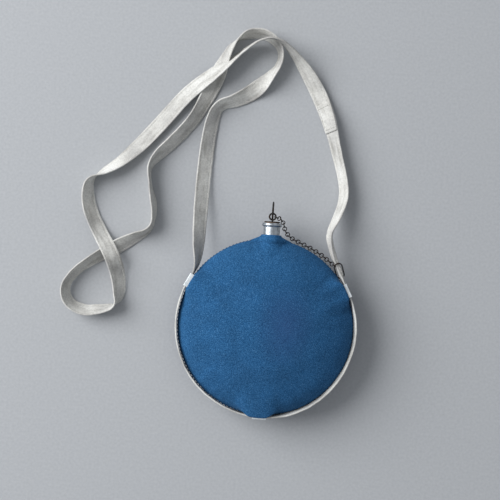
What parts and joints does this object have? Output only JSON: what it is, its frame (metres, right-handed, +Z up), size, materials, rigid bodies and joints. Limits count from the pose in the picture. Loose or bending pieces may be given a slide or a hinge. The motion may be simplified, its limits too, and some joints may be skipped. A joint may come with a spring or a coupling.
{
  "type": "canteen",
  "caption": "Round tin canteen in a blue cloth cover, with a corked neck, a stopper chain and a long cotton shoulder strap.",
  "frame": {"origin": "middle of the flat rest patch under the canteen, on the surface it lies on", "axes": "+Z up, +Y along the neck, away from the body"},
  "size_m": [0.341, 0.4491, 0.0672],
  "materials": {
    "blue_wool": "napped wool",
    "cotton_strap": "cotton drill",
    "tin": "tinned, dull",
    "solder": "dull",
    "pewter": "dull, worn",
    "cork": "raw cork",
    "iron_wire": "dark, slightly rusted",
    "iron_plate": "dark, slightly rusted"
  },
  "bodies": {
    "canteen": {"front_shell": "tin", "back_shell": "tin", "rim_solder": "solder", "neck": "pewter", "cover_front": "blue_wool", "cover_back": "blue_wool", "strap_bracket_left": "tin", "strap_bracket_right": "tin", "strap_bracket_bottom": "tin", "strap_rim": "cotton_strap", "strap_free": "cotton_strap"},
    "stopper": {"cork": "cork", "cap_washer": "iron_plate", "foot_washer": "iron_plate", "stopper_pin": "iron_wire"},
    "pull_ring": {"pull_ring": "iron_wire"},
    "chain": {"chain_link_01": "iron_wire", "chain_link_02": "iron_wire", "chain_link_03": "iron_wire", "chain_link_04": "iron_wire", "chain_link_05": "iron_wire", "chain_link_06": "iron_wire", "chain_link_07": "iron_wire", "chain_link_08": "iron_wire", "chain_link_09": "iron_wire", "chain_link_10": "iron_wire", "chain_link_11": "iron_wire", "chain_link_12": "iron_wire", "chain_last_ring": "iron_wire"},
    "end_ring": {"chain_end_ring": "iron_wire"}
  },
  "joints": [
    {"name": "stopper_pull", "type": "slide", "parent": "canteen", "child": "stopper", "axis": [0, 1, 0], "range_m": [0, 0.025]},
    {"name": "ring_swing", "type": "hinge", "parent": "stopper", "child": "pull_ring", "pos_m": [0, 0.1296, 0.0332], "axis": [1, 0, 0], "range_deg": [-5, 128]},
    {"name": "chain_root", "type": "hinge", "parent": "stopper", "child": "chain", "pos_m": [0.0036, 0.126, 0.0332], "axis": [0, 0, 1], "range_deg": [-6.84, 0]},
    {"name": "end_ring_turn", "type": "hinge", "parent": "chain", "child": "end_ring", "pos_m": [0.074, 0.0748, 0.0376], "axis": [0, 0, 1], "range_deg": [0, 6.84]}
  ],
  "couplings": [
    {"joint": "chain_root", "follows": "stopper_pull", "rad_per_m": -4.708},
    {"joint": "end_ring_turn", "follows": "stopper_pull", "rad_per_m": 4.708}
  ]
}
